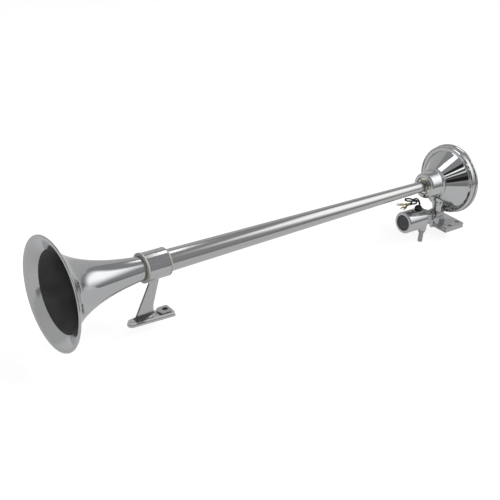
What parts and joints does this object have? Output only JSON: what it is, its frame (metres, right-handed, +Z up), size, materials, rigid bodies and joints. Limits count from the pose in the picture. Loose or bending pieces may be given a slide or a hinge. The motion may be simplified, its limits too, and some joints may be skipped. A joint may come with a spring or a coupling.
{
  "type": "truck air horn",
  "caption": "Long chrome air horn: flared bell on a tapered trumpet, front bracket with nylon bushes, diaphragm housing on a rear base, and an electric air valve.",
  "frame": {"origin": "centre of the underside of the rear base plate, on the surface that the horn is bolted to", "axes": "+X from the bell towards the diaphragm housing, along the horn; +Y across; +Z up, away from the mounting surface"},
  "size_m": [0.6565, 0.132, 0.1568],
  "materials": {
    "chrome": "bright chrome plate over a smooth casting or spinning",
    "polished_tube": "polished metal tube with a faint warm tint",
    "nylon": "off-white moulded nylon, slightly glossy",
    "satin_casting": "satin grey metal, fine as-cast grain under thin plate",
    "steel": "bright machined steel",
    "nickel": "nickel-plated brass, warm grey",
    "brass": "plain brass, slightly dull",
    "rubber": "black rubber",
    "wire_cover": "black wire insulation",
    "gasket": "dark fibre gasket",
    "cap_plastic": "dark grey potting and cap",
    "bobbin_plastic": "natural nylon",
    "winding": "enamelled copper wire"
  },
  "bodies": {
    "horn": {"bell": "chrome", "diaphragm_housing": "chrome", "back_cover": "chrome", "coil_case": "chrome", "valve_body": "chrome", "trumpet_tube": "polished_tube", "inlet_nipple": "satin_casting", "inlet_ferrule": "satin_casting", "diaphragm": "steel", "cover_screw_1": "steel", "cover_screw_2": "steel", "cover_screw_3": "steel", "cover_screw_4": "steel", "cover_screw_5": "steel", "cover_screw_6": "steel", "core_stop": "steel", "guide_tube": "steel", "plunger_spring": "steel", "outlet_nut": "steel", "tube_lock_nut": "nickel", "outlet_nipple": "nickel", "nozzle_seat": "brass", "brass_terminal_1": "brass", "brass_terminal_2": "brass", "tube_o_ring": "rubber", "outlet_o_ring": "rubber", "wire_grommet": "rubber", "lead_wire_1": "wire_cover", "lead_wire_2": "wire_cover", "terminal_sleeve_1": "wire_cover", "terminal_sleeve_2": "wire_cover", "front_gasket": "gasket", "rear_gasket": "gasket", "end_cap": "cap_plastic", "coil_bobbin": "bobbin_plastic", "coil_winding": "winding"},
    "front_mount": {"front_bracket": "satin_casting", "front_bush": "nylon", "rear_bush": "nylon"},
    "valve_plunger": {"plunger": "steel", "plunger_seal": "rubber"}
  },
  "joints": [
    {"name": "bracket_swivel", "type": "hinge", "parent": "horn", "child": "front_mount", "pos_m": [-0.502, 0, 0.0735], "axis": [1, 0, 0], "continuous": true},
    {"name": "plunger_travel", "type": "slide", "parent": "horn", "child": "valve_plunger", "axis": [-1, 0, 0], "range_m": [0, 0.0022], "stiffness_N_per_m": 120, "springref_m": -0.001, "deforming": ["plunger_spring"]}
  ]
}
